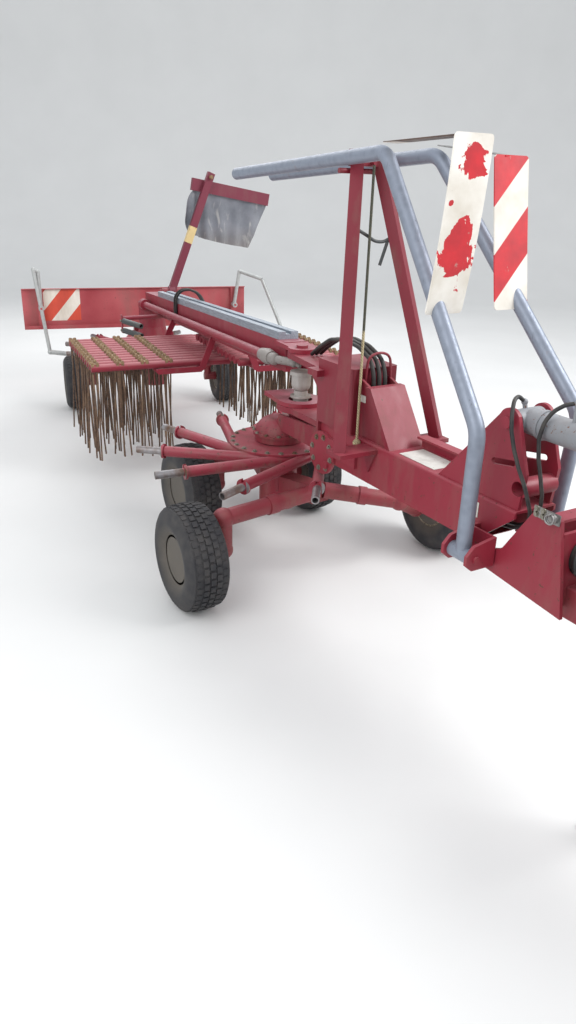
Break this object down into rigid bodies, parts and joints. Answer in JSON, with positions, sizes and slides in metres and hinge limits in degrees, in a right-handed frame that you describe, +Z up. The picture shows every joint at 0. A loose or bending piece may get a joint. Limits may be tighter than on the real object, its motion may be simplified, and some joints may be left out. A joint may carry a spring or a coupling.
{
  "type": "rotary rake",
  "caption": "Trailed two-rotor hay rake folded for the road, with stored tine arms, guard hoops, swinging rear beam and steered rear wheels.",
  "frame": {"origin": "on the ground under the middle of the machine's bounding box", "axes": "+Y along the machine towards its rear, +X towards its right-hand side seen from the front looking rearwards, +Z up"},
  "size_m": [2.2104, 5.9722, 1.744],
  "materials": {
    "red_paint": "satin",
    "grey_paint": "satin",
    "silver_profile": "brushed",
    "bare_steel": "worn",
    "tyre_rubber": "matte",
    "rim_paint": "matte",
    "tine_steel": "rusty",
    "board_paint": "matte",
    "curtain_cloth": "matte",
    "rope": "matte",
    "hose_rubber": "matte",
    "black_plastic": "matte"
  },
  "bodies": {
    "chassis": {"front_beam": "red_paint", "mast": "red_paint", "mast_rope": "rope", "pivot_tower": "red_paint", "front_gearbox": "red_paint", "axle_frame": "red_paint", "tower_hoses": "hose_rubber"},
    "drawbar": {"drawbar": "red_paint", "shaft_guard": "black_plastic"},
    "stand": {"stand_leg": "grey_paint"},
    "headstock": {"headstock": "red_paint"},
    "lift_barrel": {"lift_barrel": "grey_paint", "lift_hoses": "hose_rubber"},
    "lift_rod": {"lift_rod": "bare_steel"},
    "front_rotor": {"front_rotor": "red_paint"},
    "hoop_left": {"guard_hoop_left": "grey_paint", "warning_board_left": "board_paint"},
    "hoop_right": {"guard_hoop_right": "grey_paint", "warning_board_right": "board_paint"},
    "rear_beam": {"rear_beam": "red_paint", "beam_profile": "silver_profile", "shaft_bell": "red_paint", "stored_arms_left": "tine_steel", "stored_arms_right": "tine_steel", "rear_hoses": "hose_rubber"},
    "rear_shaft": {"rear_shaft": "grey_paint"},
    "rear_rotor": {"rear_rotor": "red_paint"},
    "rear_carriage": {"rear_carriage": "red_paint", "rear_board": "red_paint"},
    "rear_hoop_left": {"rear_hoop_left": "grey_paint"},
    "rear_hoop_right": {"rear_hoop_right": "grey_paint"},
    "curtain_arm": {"curtain_arm": "red_paint", "curtain": "curtain_cloth"},
    "wheel_front_left": {"tyre_front_left": "tyre_rubber", "rim_front_left": "rim_paint"},
    "wheel_front_right": {"tyre_front_right": "tyre_rubber", "rim_front_right": "rim_paint"},
    "wheel_mid_left": {"tyre_mid_left": "tyre_rubber", "rim_mid_left": "rim_paint"},
    "wheel_mid_right": {"tyre_mid_right": "tyre_rubber", "rim_mid_right": "rim_paint"},
    "wheel_rear_left": {"tyre_rear_left": "tyre_rubber", "rim_rear_left": "rim_paint"},
    "wheel_rear_right": {"tyre_rear_right": "tyre_rubber", "rim_rear_right": "rim_paint"}
  },
  "joints": [
    {"name": "drawbar_lift", "type": "hinge", "parent": "chassis", "child": "drawbar", "pos_m": [-0.377, -1.712, 0.566], "axis": [-1, 0, 0], "range_deg": [-4, 10]},
    {"name": "lift_barrel_tilt", "type": "hinge", "parent": "chassis", "child": "lift_barrel", "pos_m": [-0.377, -1.686, 0.985], "axis": [-1, 0, 0], "range_deg": [-4.28, 10.4]},
    {"name": "lift_rod_slide", "type": "slide", "parent": "lift_barrel", "child": "lift_rod", "axis": [0, -1, 0], "range_m": [-0.0757, 0.0309]},
    {"name": "headstock_swivel", "type": "hinge", "parent": "drawbar", "child": "headstock", "pos_m": [-0.377, -2.796, 0.525], "axis": [0, 0, 1], "range_deg": [-50, 50]},
    {"name": "stand_slide", "type": "slide", "parent": "drawbar", "child": "stand", "axis": [0, 0, 1], "range_m": [0, 0.28]},
    {"name": "front_rotor_spin", "type": "hinge", "parent": "chassis", "child": "front_rotor", "pos_m": [-0.404, -0.26, 0.49], "axis": [0, 0, 1], "continuous": true},
    {"name": "hoop_left_fold", "type": "hinge", "parent": "chassis", "child": "hoop_left", "pos_m": [-0.567, -1.686, 0.59], "axis": [0, -1, 0], "range_deg": [0, 80]},
    {"name": "hoop_right_fold", "type": "hinge", "parent": "chassis", "child": "hoop_right", "pos_m": [-0.187, -1.686, 0.59], "axis": [0, 1, 0], "range_deg": [0, 80]},
    {"name": "beam_swing", "type": "hinge", "parent": "chassis", "child": "rear_beam", "pos_m": [-0.377, -0.396, 0.87], "axis": [0, 0, 1], "range_deg": [0, 40]},
    {"name": "rear_shaft_spin", "type": "hinge", "parent": "rear_beam", "child": "rear_shaft", "pos_m": [-0.42521, -0.23938, 0.888], "axis": [0.1155, 0.9925, -0.0411], "continuous": true},
    {"name": "rear_rotor_spin", "type": "hinge", "parent": "rear_beam", "child": "rear_rotor", "pos_m": [-0.07, 2.24119, 0.49], "axis": [0, 0, 1], "continuous": true},
    {"name": "carriage_steer", "type": "hinge", "parent": "rear_beam", "child": "rear_carriage", "pos_m": [-0.07, 2.24119, 0.3], "axis": [0, 0, -1], "range_deg": [-5, 35]},
    {"name": "wheel_front_left_roll", "type": "hinge", "parent": "chassis", "child": "wheel_front_left", "pos_m": [-1.017, -0.648, 0.221], "axis": [1, 0, 0], "continuous": true},
    {"name": "wheel_front_right_roll", "type": "hinge", "parent": "chassis", "child": "wheel_front_right", "pos_m": [0.263, -0.648, 0.221], "axis": [1, 0, 0], "continuous": true},
    {"name": "wheel_mid_left_roll", "type": "hinge", "parent": "chassis", "child": "wheel_mid_left", "pos_m": [-0.717, 0.054, 0.221], "axis": [1, 0, 0], "continuous": true},
    {"name": "wheel_mid_right_roll", "type": "hinge", "parent": "chassis", "child": "wheel_mid_right", "pos_m": [-0.037, 0.054, 0.221], "axis": [1, 0, 0], "continuous": true},
    {"name": "wheel_rear_left_roll", "type": "hinge", "parent": "rear_carriage", "child": "wheel_rear_left", "pos_m": [-0.59403, 2.50027, 0.2], "axis": [0.9801, -0.1983, 0], "continuous": true},
    {"name": "wheel_rear_right_roll", "type": "hinge", "parent": "rear_carriage", "child": "wheel_rear_right", "pos_m": [0.51353, 2.27615, 0.2], "axis": [0.9801, -0.1983, 0], "continuous": true},
    {"name": "rear_hoop_left_fold", "type": "hinge", "parent": "rear_carriage", "child": "rear_hoop_left", "pos_m": [-0.70704, 2.90983, 0.69], "axis": [-0.1983, -0.9801, 0], "range_deg": [0, 60]},
    {"name": "rear_hoop_right_fold", "type": "hinge", "parent": "rear_carriage", "child": "rear_hoop_right", "pos_m": [0.77688, 2.60954, 0.69], "axis": [0.1983, 0.9801, 0], "range_deg": [0, 60]},
    {"name": "curtain_fold", "type": "hinge", "parent": "rear_beam", "child": "curtain_arm", "pos_m": [0.05244, 2.15143, 0.88], "axis": [-0.9933, 0.1156, 0], "range_deg": [0, 50]}
  ],
  "couplings": [
    {"joint": "lift_barrel_tilt", "follows": "drawbar_lift", "ratio": 0.99957},
    {"joint": "lift_rod_slide", "follows": "drawbar_lift", "m_per_rad": -0.41933},
    {"joint": "rear_shaft_spin", "follows": "front_rotor_spin", "ratio": 6},
    {"joint": "rear_rotor_spin", "follows": "front_rotor_spin", "ratio": 1}
  ]
}
